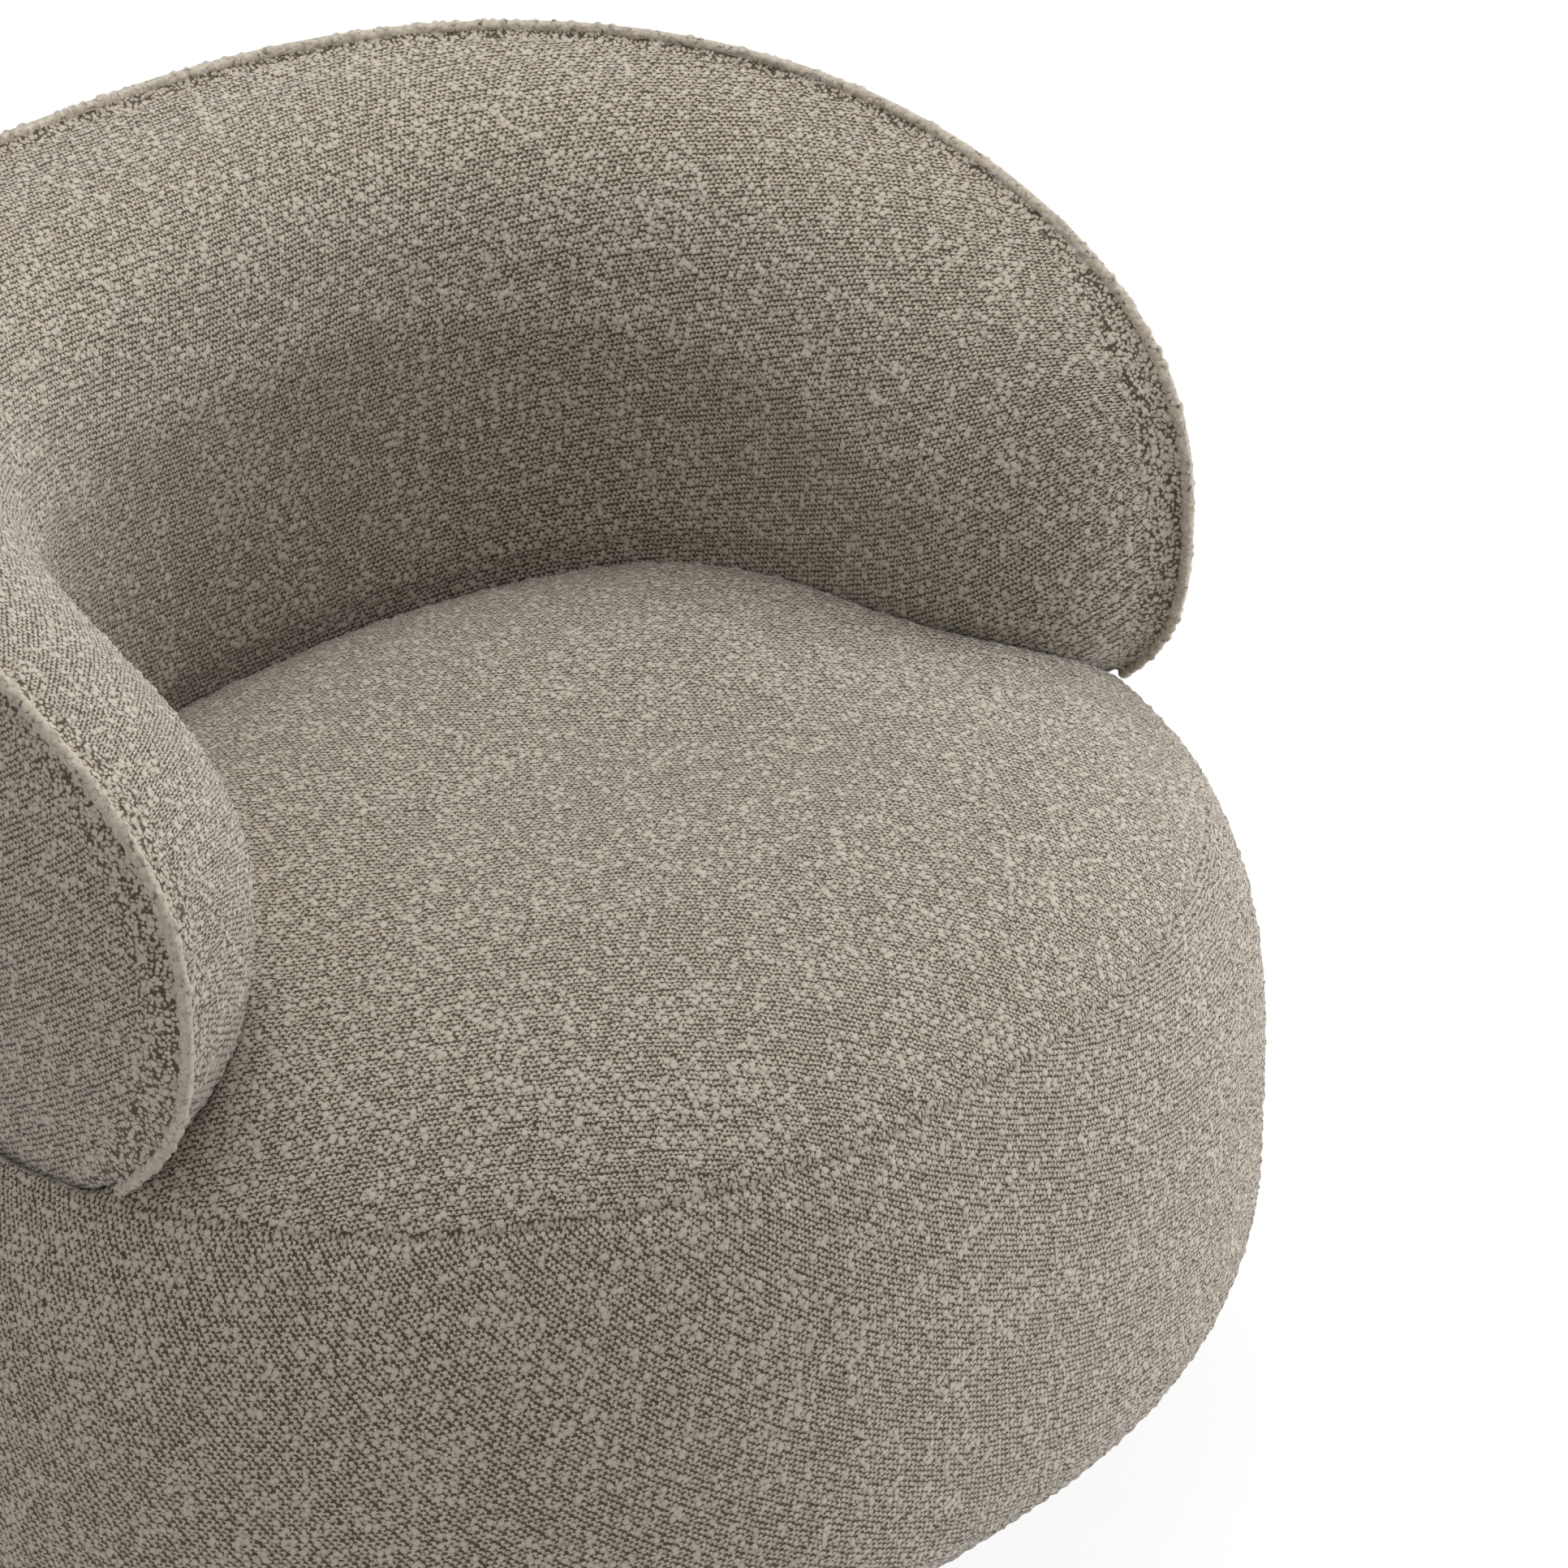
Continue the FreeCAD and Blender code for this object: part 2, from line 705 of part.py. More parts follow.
def make_back_frame():
    outer = slab_in_back(board_margin, outer_foam + seat_gap, frame_front)
    save("back_outer_board", above(outer, shelf_height))
    inner = slab_in_back(board_margin, frame_back, inner_board_face)
    save("back_inner_board", above(inner, shelf_height))

    between = slab_in_back(board_margin, frame_front + seat_gap, frame_back - seat_gap)
    foot = below(above(between, shelf_height), foot_rail_top)
    for place in back_bolt_places():
        foot = foot.cut(nut_hole(place.x, place.y, foot_rail_top, shelf_height))
    save("back_foot_rail", foot)

    rail_inset = board_margin + top_rail_height
    under_rail = slab_in_back(rail_inset, frame_front - overcut, frame_back + overcut)
    save("back_top_rail", above(between.cut(under_rail), back_middle_height))

    posts = []
    for turn in post_angles:
        half = post_width / 2 / back_arc_radius
        ends = [back_outline(turn + side, rail_inset)[0] for side in (-half, half)]
        high = min(ends) - post_side_gap
        foot_point, outward = back_frame(turn)
        along = Vector(-outward.y, outward.x, 0)
        middle = foot_point - outward * (frame_front + frame_back) / 2
        post_depth = frame_depth - 2 * post_side_gap
        corner = middle - outward * (post_depth / 2) - along * (post_width / 2)
        corners = [corner, corner + along * post_width,
                   corner + along * post_width + outward * post_depth, corner + outward * post_depth]
        corners = [Vector(p.x, p.y, foot_rail_top) for p in corners]
        posts.append(Part.Face(polygon(corners)).extrude(Vector(0, 0, high - foot_rail_top)))
    save("back_posts", posts)


def make_back_soft():
    wires = []
    for turn in stations_of(cover, foam_tip_blunt):
        upper, lower = inner_curve(turn, cover, outer_foam)
        edges = inner_edges(upper, lower) + [line(lower[-1], upper[0])]
        wires.append(Part.Wire(edges))
    foam = loft(wires)
    pocket = slab_in_back(board_margin - soft_gap, -outer_foam, inner_board_face + seat_gap)
    save("inside_back_foam", above(foam.cut(pocket), soft_floor))

    wires = []
    edge_inset = cover + soft_gap
    for turn in stations_of(cover, foam_tip_blunt):
        outer = outer_points(turn, edge_inset, -seat_gap)
        top, bottom = back_outline(turn, edge_inset)
        inner = [back_point(turn, outer_foam - seam_gap, z) for z in (top, bottom)]
        wires.append(Part.Wire([arc(*outer), line(outer[-1], inner[0]),
                                line(inner[0], inner[1]), line(inner[1], outer[0])]))
    save("outside_back_foam", above(loft(wires), soft_floor))

    face = inner_half(0.0, 0.0)
    hollow = inner_half(cover - soft_gap, outer_foam)
    save("inside_back_cover", above(face.cut(hollow), soft_floor))

    wires = []
    for turn in stations_of(0.0):
        outer = outer_points(turn, 0.0, cover)
        inner = outer_points(turn, 0.0, seam_gap)
        edges = [arc(*outer), line(outer[-1], inner[-1]), arc(*inner[::-1]), line(inner[0], outer[0])]
        wires.append(Part.Wire(edges))
    save("outside_back_cover", above(loft(wires), soft_floor))


def welt_point(angle):
    """Point of the edge cord; the angle runs round the back's outline from arm to arm."""
    grow = welt_radius + seam_gap
    c, s = math.cos(angle), math.sin(angle)
    turn = back_reach(-grow) * math.copysign(abs(c) ** (2 / back_side_power), c)
    rise = (back_rise if s > 0 else back_drop) + grow
    z = back_middle_height + rise * math.copysign(abs(s) ** (2 / back_top_power), s)
    return back_point(turn, -cover / 2, z)


def make_welt():
    fall = (back_middle_height - welt_end_height) / (back_drop + welt_radius + seam_gap)
    end = math.asin(fall ** (back_top_power / 2))
    nudge = 0.001
    wires = []
    for angle in evenly_spaced(-end, math.pi + end, welt_point, welt_station_gap):
        here = welt_point(angle)
        ahead = (welt_point(angle + nudge) - welt_point(angle - nudge)).normalize()
        side = ahead.cross(Vector(0, 0, 1)).normalize()
        up = side.cross(ahead).normalize()

        def rim(share):
            spin = 2 * math.pi * share
            return here + side * (welt_radius * math.cos(spin)) + up * (welt_radius * math.sin(spin))

        edges = [arc(rim(j / 3), rim((j + 0.5) / 3), rim((j + 1) / 3)) for j in range(3)]
        wires.append(Part.Wire(edges))
    save("back_welt", loft(wires, ruled=True))


os.makedirs("parts", exist_ok=True)
make_glides()
make_plinth()
make_swivel()
make_fastenings()
make_seat_frame()
make_webbing()
make_back_frame()
make_back_soft()
make_welt()
make_seat_soft(pillow(-soft_gap, cover + soft_gap))
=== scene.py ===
import json
import math

import bmesh
import bpy
import numpy as np
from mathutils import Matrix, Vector
from mathutils.bvhtree import BVHTree

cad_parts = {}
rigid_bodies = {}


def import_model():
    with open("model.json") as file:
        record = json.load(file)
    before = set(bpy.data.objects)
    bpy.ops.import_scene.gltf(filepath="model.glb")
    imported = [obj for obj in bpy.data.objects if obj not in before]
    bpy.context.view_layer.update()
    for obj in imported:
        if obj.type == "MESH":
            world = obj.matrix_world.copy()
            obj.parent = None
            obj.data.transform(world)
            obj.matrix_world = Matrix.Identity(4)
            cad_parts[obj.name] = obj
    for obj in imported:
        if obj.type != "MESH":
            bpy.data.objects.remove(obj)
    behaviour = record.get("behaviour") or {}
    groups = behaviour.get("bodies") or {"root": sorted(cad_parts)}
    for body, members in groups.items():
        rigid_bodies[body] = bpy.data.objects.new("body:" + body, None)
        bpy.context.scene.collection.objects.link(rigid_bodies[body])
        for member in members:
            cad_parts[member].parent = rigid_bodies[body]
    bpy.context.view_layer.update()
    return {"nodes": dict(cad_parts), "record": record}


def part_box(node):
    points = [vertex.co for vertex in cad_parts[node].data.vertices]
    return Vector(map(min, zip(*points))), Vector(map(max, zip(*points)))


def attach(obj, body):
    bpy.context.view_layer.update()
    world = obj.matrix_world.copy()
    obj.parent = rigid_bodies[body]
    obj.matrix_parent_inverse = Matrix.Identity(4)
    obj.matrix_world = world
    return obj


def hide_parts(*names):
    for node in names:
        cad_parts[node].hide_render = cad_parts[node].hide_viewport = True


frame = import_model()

bl_info = {
    "name": "Swivel tub chair",
    "version": (1, 0, 0),
    "blender": (4, 5, 0),
    "location": "View3D > Sidebar > Tub chair",
    "description": "Boucle cushions, edge welt, frame finishes and studio of a swivel tub chair",
    "category": "Add Mesh",
}

SEAM_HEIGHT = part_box("seat_cover_top")[0].z
CROWN_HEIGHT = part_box("seat_cover_top")[1].z

# Form of the seat and of the back, in metres. The seat reaches out to its sides, its front and its rear.
SEAT_CENTRE = (0.0, -0.013)
SEAT_REACH = (0.430, 0.355, 0.390)
MEAN_REACH = sum(SEAT_REACH) / 3
WAIST_HEIGHT = 0.143
CROWN_RISE = 0.302
CROWN_POWER = 3.7
UNDER_DROP = 0.105
UNDER_POWER = 2.8
BACK_CENTRE_Y = -0.0275
BACK_HALF_WIDTH = 0.378
BACK_DEPTH = 0.380
BACK_POWER = 2.46
BACK_MIDDLE = 0.484
BACK_RISE = 0.216
BACK_DROP = 0.210
BACK_WRAP = math.radians(107.3)
BACK_SIDE_POWER = 2.84
BACK_TOP_POWER = 2.58
BACK_ROLL = 0.129
BACK_ARC = 0.400
INSIDE_FACE_DEPTH = 0.125
OUTSIDE_FACE_DEPTH = 0.001
HEM_HEIGHT = 0.05

# Cut of the cloth: the top panel's grain, how far the side panel's ring opens, and the back panels' ring
SEAT_GRAIN = math.radians(-44)
SIDE_PANEL_CONE = 0.5
BACK_PANEL_RADIUS = 1.1
LARGEST_ROLL_SHARE = 0.46
SMALLEST_ROLL = 0.02
SMALLEST_TIP_DEPTH = 0.05

SOFT_SEAT_NODES = ("seat_cover_top", "seat_cover_band", "seat_foam", "seat_side_foam", "seat_top_ring",
                   "base_board", "seat_ribs", "swivel_t_nuts", "swivel_bolts")
# Place and reach of the round blocks that fill the hollow under the seat
SEAT_PLUGS = (((0, 0.012, 0.210), (0.375, 0.330, 0.106)), ((0, -0.013, 0.120), (0.25, 0.25, 0.070)))
SOFT_BACK_NODES = ("inside_back_cover", "outside_back_cover", "inside_back_foam", "outside_back_foam",
                   "back_inner_board", "back_outer_board", "back_foot_rail", "back_top_rail",
                   "back_welt")

# How far from a seam the cloth is held, how far from the welt its loops are gathered, and where the
# arm tips begin, at which they are gathered further in
SEAT_HOLD = 0.009
BACK_HOLD = 0.007
GATHERED_WIDTH = 0.010
GATHERED_MORE_AT_TIPS = 0.018
TIP_TURNS = (math.radians(88), math.radians(102))

CLOTH_FRAMES = 20
SKIN_SMOOTHING = 3
WELT_MESH_STEP = 0.0014
WELT_SMOOTHING = 4
SMALLEST_KNOT, KNOT_SPREAD = 0.34, 0.24
LOWEST_KNOT = 0.6

WHITE = (1, 1, 1, 1)
CAMERA_AZIMUTH, CAMERA_ELEVATION = math.radians(43.32), math.radians(30.3)
CAMERA_YAW, CAMERA_PITCH = math.radians(2.679), math.radians(1.051)
CAMERA_DISTANCE = 3.143
CAMERA_TARGET = (0.0, -0.013, 0.35)
FLOOR_SIZE = 24
FLOOR_GLOW, FLOOR_GLOW_SHARE = 1.06, 0.85


# Sizes and colours that a user may change

class TubChairForm(bpy.types.PropertyGroup):
    mesh_step: bpy.props.FloatProperty(
        name="Mesh step", description="Side of the squares that a cushion is first meshed in",
        default=0.006, min=0.004, max=0.03, unit="LENGTH")
    refinements: bpy.props.IntProperty(
        name="Refinements", description="How often each square of a cushion is split in four",
        default=1, min=0, max=3)
    sink: bpy.props.FloatProperty(
        name="Sink", description="How far a cushion starts inside its outer form",
        default=0.0015, min=0.0, max=0.02, unit="LENGTH")
    swell: bpy.props.FloatProperty(
        name="Swell", description="The most that padding may push the cloth out",
        default=0.0035, min=0.0, max=0.03, unit="LENGTH")
    pressure: bpy.props.FloatProperty(
        name="Pressure", description="Push of the padding on the cloth", default=4.0, min=0.0, max=20.0)
    seam_depth: bpy.props.FloatProperty(
        name="Seam depth", description="How deep the cloth turns in at the seat's seam",
        default=0.0015, min=0.0, max=0.01, unit="LENGTH")
    knot_height: bpy.props.FloatProperty(
        name="Knot height", description="How far the larger knots of yarn stand out",
        default=0.0018, min=0.0, max=0.004, unit="LENGTH")
    knot_spacing: bpy.props.FloatProperty(
        name="Knot spacing", description="Mean distance between the larger knots of yarn",
        default=0.0060, min=0.002, max=0.03, unit="LENGTH")


class TubChairCloth(bpy.types.PropertyGroup):
    loop_pitch: bpy.props.FloatProperty(
        name="Loop pitch", description="Distance between loops along a row", default=0.0028,
        min=0.001, max=0.01, unit="LENGTH")
    row_pitch: bpy.props.FloatProperty(
        name="Row pitch", description="Distance between rows of loops", default=0.0029,
        min=0.001, max=0.01, unit="LENGTH")
    loop_colour: bpy.props.FloatVectorProperty(
        name="Loop colour", description="Colour of the looped yarn", subtype="COLOR", size=3,
        default=(0.56, 0.495, 0.405), min=0.0, max=1.0)
    knot_colour: bpy.props.FloatVectorProperty(
        name="Knot colour", description="Colour of the raised knots", subtype="COLOR", size=3,
        default=(0.575, 0.515, 0.428), min=0.0, max=1.0)
    ground_colour: bpy.props.FloatVectorProperty(
        name="Ground colour", description="Colour of the ground between the loops", subtype="COLOR",
        size=3, default=(0.085, 0.064, 0.042), min=0.0, max=1.0)
    tuft_size: bpy.props.FloatProperty(
        name="Tuft size", description="Mean distance between the small knots of yarn", default=0.0041,
        min=0.001, max=0.02, unit="LENGTH")
    sheen: bpy.props.FloatProperty(
        name="Sheen", description="Pale rim of the fuzzy cloth", default=0.35, min=0.0, max=1.0)


class TubChairStudio(bpy.types.PropertyGroup):
    world_strength: bpy.props.FloatProperty(
        name="World strength", description="Level of the even light", default=0.56, min=0.0, max=3.0)
    key_power: bpy.props.FloatProperty(
        name="Key power", description="Power of the large lamp above", default=36.0, min=0.0,
        max=500.0, unit="POWER")
    side_power: bpy.props.FloatProperty(
        name="Side power", description="Power of the lamp at the chair's left", default=42.0, min=0.0,
        max=500.0, unit="POWER")
    lens: bpy.props.FloatProperty(
        name="Lens", description="Focal length of the camera", default=131.7, min=10.0, max=400.0,
        unit="CAMERA")


# Selecting, reading and writing meshes

def select_only(*pieces):
    bpy.ops.object.select_all(action="DESELECT")
    for piece in pieces:
        piece.select_set(True)
    bpy.context.view_layer.objects.active = pieces[-1]


def apply_modifier(piece, kind, **settings):
    select_only(piece)
    modifier = piece.modifiers.new(kind.title(), kind)
    for key, value in settings.items():
        setattr(modifier, key, value)
    bpy.ops.object.modifier_apply(modifier=modifier.name)


def points_of(piece):
    flat = np.empty(len(piece.data.vertices) * 3, np.float32)
    piece.data.vertices.foreach_get("co", flat)
    return flat.reshape(-1, 3).astype(np.float64)


def normals_of(piece):
    flat = np.empty(len(piece.data.vertices) * 3, np.float32)
    piece.data.vertices.foreach_get("normal", flat)
    return flat.reshape(-1, 3).astype(np.float64)


def set_points(piece, points):
    piece.data.vertices.foreach_set("co", points.astype(np.float32).ravel())
    piece.data.update()


def copy_of_nodes(name, nodes, plugs=()):
    """One mesh of copies of CAD nodes, and of round blocks that fill a hollow between them."""
    copies = []
    for place, reach in plugs:
        bpy.ops.mesh.primitive_cylinder_add(vertices=64, radius=1, depth=2, location=place, scale=reach)
        copies.append(bpy.context.active_object)
    for node in nodes:
        copy = frame["nodes"][node].copy()
        copy.data = copy.data.copy()
        copy.parent = None
        for key in list(copy.keys()):
            del copy[key]
        bpy.context.scene.collection.objects.link(copy)
        copies.append(copy)
    select_only(*copies)
    if plugs:
        bpy.ops.object.transform_apply(location=True, rotation=True, scale=True)
    if len(copies) > 1:
        bpy.ops.object.join()
    piece = bpy.context.view_layer.objects.active
    piece.name = name
    piece.data.name = name
    piece.data.materials.clear()
    return piece


def keep_outer_skin(piece):
    """Deletes the walls of the hollows inside a closed skin."""
    select_only(piece)
    bpy.ops.object.mode_set(mode="EDIT")
    bpy.ops.mesh.select_all(action="DESELECT")
    bpy.ops.object.mode_set(mode="OBJECT")
    outermost = int(np.argmax(points_of(piece)[:, 0]))
    piece.data.vertices[outermost].select = True
    bpy.ops.object.mode_set(mode="EDIT")
    bpy.ops.mesh.select_mode(type="VERT")
    bpy.ops.mesh.select_linked(delimit=set())
    bpy.ops.mesh.select_all(action="INVERT")
    bpy.ops.mesh.delete(type="VERT")
    bpy.ops.object.mode_set(mode="OBJECT")


def search_tree(meshes):
    """Search tree of the surfaces of meshes."""
    made = bmesh.new()
    for mesh in meshes:
        made.from_mesh(mesh)
    tree = BVHTree.FromBMesh(made)
    made.free()
    return tree


def surface_of(nodes):
    """Search tree of the surface of CAD nodes."""
    return search_tree([frame["nodes"][node].data for node in nodes])


def nearest_on(tree, points):
    """The nearest point of a surface to each point, and how far away it is."""
    found = [tree.find_nearest(Vector(point)) for point in points]
    return np.array([place for place, _, _, _ in found]), np.array([away for _, _, _, away in found])


def eased(values, low, high):
    """0 below low, 1 above high and a smooth step between them."""
    share = np.clip((values - low) / (high - low), 0, 1)
    return share * share * (3 - 2 * share)


# Padding, as cloth that is sewn down at its seams and pushed out between them

def simulate_padding(piece, sewn, pressure, most):
    """Pushes the cloth out by its padding, by no more than most, except where it is sewn."""
    start, outward = points_of(piece), normals_of(piece)
    group = piece.vertex_groups.new(name="sewn")
    group.add([int(index) for index in np.flatnonzero(sewn)], 1.0, "REPLACE")
    select_only(piece)
    cloth = piece.modifiers.new("Padding", "CLOTH")
    cloth.settings.quality = 2
    cloth.settings.mass = 0.1
    cloth.settings.tension_stiffness = 5
    cloth.settings.compression_stiffness = 5
    cloth.settings.shear_stiffness = 3
    cloth.settings.bending_stiffness = 0.5
    cloth.settings.vertex_group_mass = group.name
    cloth.settings.use_pressure = True
    cloth.settings.uniform_pressure_force = pressure
    cloth.settings.effector_weights.gravity = 0.0
    cloth.collision_settings.use_collision = False
    for step in range(1, CLOTH_FRAMES + 1):
        bpy.context.scene.frame_set(step)
    bpy.ops.object.modifier_apply(modifier=cloth.name)
    bpy.context.scene.frame_set(1)
    risen = ((points_of(piece) - start) * outward).sum(axis=1)
    set_points(piece, start + outward * np.clip(risen, 0, most)[:, None])
    piece.vertex_groups.clear()


def skin_round(name, nodes, plugs, step):
    """One even, closed skin round CAD nodes, in squares of about step."""
    piece = copy_of_nodes(name, nodes, plugs)
    apply_modifier(piece, "REMESH", mode="VOXEL", voxel_size=step)
    keep_outer_skin(piece)
    apply_modifier(piece, "SMOOTH", factor=0.5, iterations=SKIN_SMOOTHING)
    return piece


def padded_cushion(name, nodes, plugs, seams, hold, form):
    """Closed cloth round CAD nodes, held to their form at its seams and free to swell elsewhere."""
    shape = skin_round(name + "_form", nodes, plugs, form.mesh_step / 2)
    exact = search_tree([shape.data])
    bpy.data.objects.remove(shape)
    piece = skin_round(name, nodes, plugs, form.mesh_step)
    start = points_of(piece)
    free = eased(seams(start), hold, hold * 3)
    set_points(piece, start - normals_of(piece) * (form.sink * free)[:, None])
    simulate_padding(piece, free < 0.02, form.pressure, form.swell)
    apply_modifier(piece, "SUBSURF", levels=form.refinements, render_levels=form.refinements)
    points = points_of(piece)
    kept = 1 - eased(seams(points), hold, hold * 3)
    near = kept > 0
    settled = nearest_on(exact, points[near])[0]
    points[near] += (settled - points[near]) * kept[near, None]
    set_points(piece, points)
    return piece


# Knots of yarn that stand out of the cloth

def scrambled(cells, salt):
    """Numbers from 0 to 1 that look random and belong to whole-number cells."""
    mixed = (cells[:, 0].astype(np.uint64) * np.uint64(73856093)
             ^ cells[:, 1].astype(np.uint64) * np.uint64(19349663)
             ^ cells[:, 2].astype(np.uint64) * np.uint64(83492791)
             ^ np.uint64(salt) * np.uint64(2654435761))
    mixed ^= mixed >> np.uint64(15)
    mixed *= np.uint64(2246822519)
    mixed ^= mixed >> np.uint64(13)
    mixed *= np.uint64(3266489917)
    mixed ^= mixed >> np.uint64(16)
    return (mixed & np.uint64(0xFFFFFF)).astype(np.float64) / 0xFFFFFF


def knot_field(points, spacing):
    """How high a knot of yarn stands at each point, from 0 to 1."""
    cells = np.floor(points / spacing).astype(np.int64)
    height = np.zeros(len(points))
    for offset in np.ndindex(3, 3, 3):
        near = cells + (np.array(offset) - 1)
        centre = np.stack([scrambled(near, salt) for salt in (1, 2, 3)], axis=1) + near
        radius = SMALLEST_KNOT + KNOT_SPREAD * scrambled(near, 4)
        away = np.linalg.norm(points / spacing - centre, axis=1) / radius
        tallest = LOWEST_KNOT + (1 - LOWEST_KNOT) * scrambled(near, 5)
        height = np.maximum(height, (1 - away ** 2) * tallest)
    return height


def mark_points(piece, name, values):
    mark = piece.data.attributes.new(name, "FLOAT", "POINT")
    mark.data.foreach_set("value", values.astype(np.float32))


def turn_in(piece, away, depth, width):
    """Turns the cloth in along a seam, by how far points are away from it, and marks how near each point
    is to it, for painted shade along the crease.
    """
    share = np.exp(-(away / width) ** 2)
    set_points(piece, points_of(piece) - normals_of(piece) * (depth * share)[:, None])
    mark_points(piece, "seam_shade", share)


def raise_knots(piece, form):
    points = points_of(piece)
    knots = knot_field(points, form.knot_spacing)
    set_points(piece, points + normals_of(piece) * (knots * form.knot_height)[:, None])


# Lay of the cloth on each panel, as a flat pattern in metres

def running_length(steps):
    return np.concatenate([[0.0], np.cumsum(steps)])


def profile_length(heights):
    """Length along the seat's side from its crown down to each height."""
    grid = np.linspace(CROWN_HEIGHT, WAIST_HEIGHT - UNDER_DROP * 0.98, 400)
    over = grid > WAIST_HEIGHT
    share = np.where(over, (grid - WAIST_HEIGHT) / CROWN_RISE, (WAIST_HEIGHT - grid) / UNDER_DROP)
    power = np.where(over, CROWN_POWER, UNDER_POWER)
    radius = MEAN_REACH * (1 - np.clip(share, 0, 1) ** power) ** (1 / power)
    length = radius[0] + running_length(np.hypot(np.diff(radius), np.diff(grid)))
    return np.interp(-heights, -grid, length)


def crown_length(share):
    """Length over the crown from its middle out to each share of the seat's reach."""
    grid = np.linspace(0, 0.999, 400)
    height = CROWN_RISE * (1 - grid ** CROWN_POWER) ** (1 / CROWN_POWER)
    return np.interp(share, grid, running_length(np.hypot(np.diff(grid) * MEAN_REACH, np.diff(height))))


def seat_pattern(points, centres):
    """Flat pattern of the seat: a round top panel and a side panel that is cut as part of a ring."""
    across, along = points[:, 0] - SEAT_CENTRE[0], points[:, 1] - SEAT_CENTRE[1]
    turn = np.arctan2(along, across)
    middle_turn = np.arctan2(centres[:, 1] - SEAT_CENTRE[1], centres[:, 0] - SEAT_CENTRE[0])
    turn = turn + 2 * np.pi * np.round((middle_turn - turn) / (2 * np.pi))
    front_or_rear = np.where(along > 0, SEAT_REACH[2], SEAT_REACH[1])
    share = np.hypot(across / SEAT_REACH[0], along / front_or_rear)
    crown = crown_length(share)
    top = np.stack([crown * np.cos(turn - SEAT_GRAIN), crown * np.sin(turn - SEAT_GRAIN)], axis=1)
    fall = profile_length(points[:, 2]) - profile_length(SEAM_HEIGHT)
    ring = MEAN_REACH / SIDE_PANEL_CONE - fall
    swing = (turn - SEAT_GRAIN) * SIDE_PANEL_CONE
    side = np.stack([ring * np.sin(swing), ring * np.cos(swing)], axis=1)
    on_top = centres[:, 2] > SEAM_HEIGHT
    return np.where(on_top[:, None], top, side)


def back_outline(turn):
    """Height of the back's upper and lower edge at each turn."""
    share = np.clip(np.abs(turn) / BACK_WRAP, 0, 1)
    height = (1 - share ** BACK_SIDE_POWER) ** (1 / BACK_TOP_POWER)
    return BACK_MIDDLE + BACK_RISE * height, BACK_MIDDLE - BACK_DROP * height


def back_plan(turn):
    """The plan's outline at each turn, from the back's centre, and the direction out of it there."""
    s, c = np.sin(turn), np.cos(turn)
    share = np.abs(s / BACK_HALF_WIDTH) ** BACK_POWER + np.abs(c / BACK_DEPTH) ** BACK_POWER
    radius = share ** (-1 / BACK_POWER)
    foot_x, foot_y = radius * s, radius * c
    out_x = np.sign(foot_x) * np.abs(foot_x / BACK_HALF_WIDTH) ** (BACK_POWER - 1) / BACK_HALF_WIDTH
    out_y = np.sign(foot_y) * np.abs(foot_y / BACK_DEPTH) ** (BACK_POWER - 1) / BACK_DEPTH
    steep = np.hypot(out_x, out_y)
    return foot_x, foot_y, out_x / steep, out_y / steep


def plan_length(turns, depth):
    """Length from the back's middle to each turn, along a line that runs inside the plan's outline."""
    grid = np.linspace(-2.2, 2.2, 600)
    foot_x, foot_y, out_x, out_y = back_plan(grid)
    steps = np.hypot(np.diff(foot_x - depth * out_x), np.diff(foot_y - depth * out_y))
    run = running_length(steps)
    return np.interp(turns, grid, run - run[-1] / 2)


def turn_and_depth(points):
    """Where points lie round the back's plan, and how far inside it, square to the plan's outline."""
    x, y = points[:, 0], points[:, 1] - BACK_CENTRE_Y
    turn = np.arctan2(x, y)
    for _ in range(4):
        foot_x, foot_y, out_x, out_y = back_plan(turn)
        depth = (foot_x - x) * out_x + (foot_y - y) * out_y
        turn = np.arctan2(x + depth * out_x, y + depth * out_y)
    return turn, depth


def back_pattern(points, centres):
    """Flat pattern of the back: long panels cut as parts of a ring, over the rolled edge and down."""
    turn, depth = turn_and_depth(points)
    top, bottom = back_outline(turn)
    roll = np.clip(LARGEST_ROLL_SHARE * (top - bottom), SMALLEST_ROLL, BACK_ROLL)
    to_tip = np.clip((BACK_WRAP - np.abs(turn)) * BACK_ARC / BACK_ROLL, 0, 1)
    deepest = np.maximum(np.sqrt(1 - (1 - to_tip) ** 2), SMALLEST_TIP_DEPTH)
    tip_start = plan_length(BACK_WRAP - BACK_ROLL / BACK_ARC, INSIDE_FACE_DEPTH)
    tip_lean = np.arctan2(1 - to_tip, deepest)
    along_inside = np.where(to_tip < 1, np.sign(turn) * (tip_start + BACK_ROLL * tip_lean),
                            plan_length(turn, INSIDE_FACE_DEPTH))
    risen = np.maximum(points[:, 2] - (top - roll), 0) / roll
    lean = np.arctan2(risen, np.clip(depth / (BACK_ROLL * deepest), 0.02, 2))
    arc = np.hypot(roll, BACK_ROLL * deepest) / math.sqrt(2) * lean
    up_inside = np.where(risen > 0, top - roll + arc, points[:, 2])
    outside = turn_and_depth(centres)[1] < OUTSIDE_FACE_DEPTH
    along = np.where(outside, plan_length(turn, 0.0), along_inside)
    up = np.where(outside, points[:, 2], up_inside)
    ring = BACK_PANEL_RADIUS + up - BACK_MIDDLE
    swing = along / BACK_PANEL_RADIUS
    return np.stack([ring * np.sin(swing), ring * np.cos(swing)], axis=1)


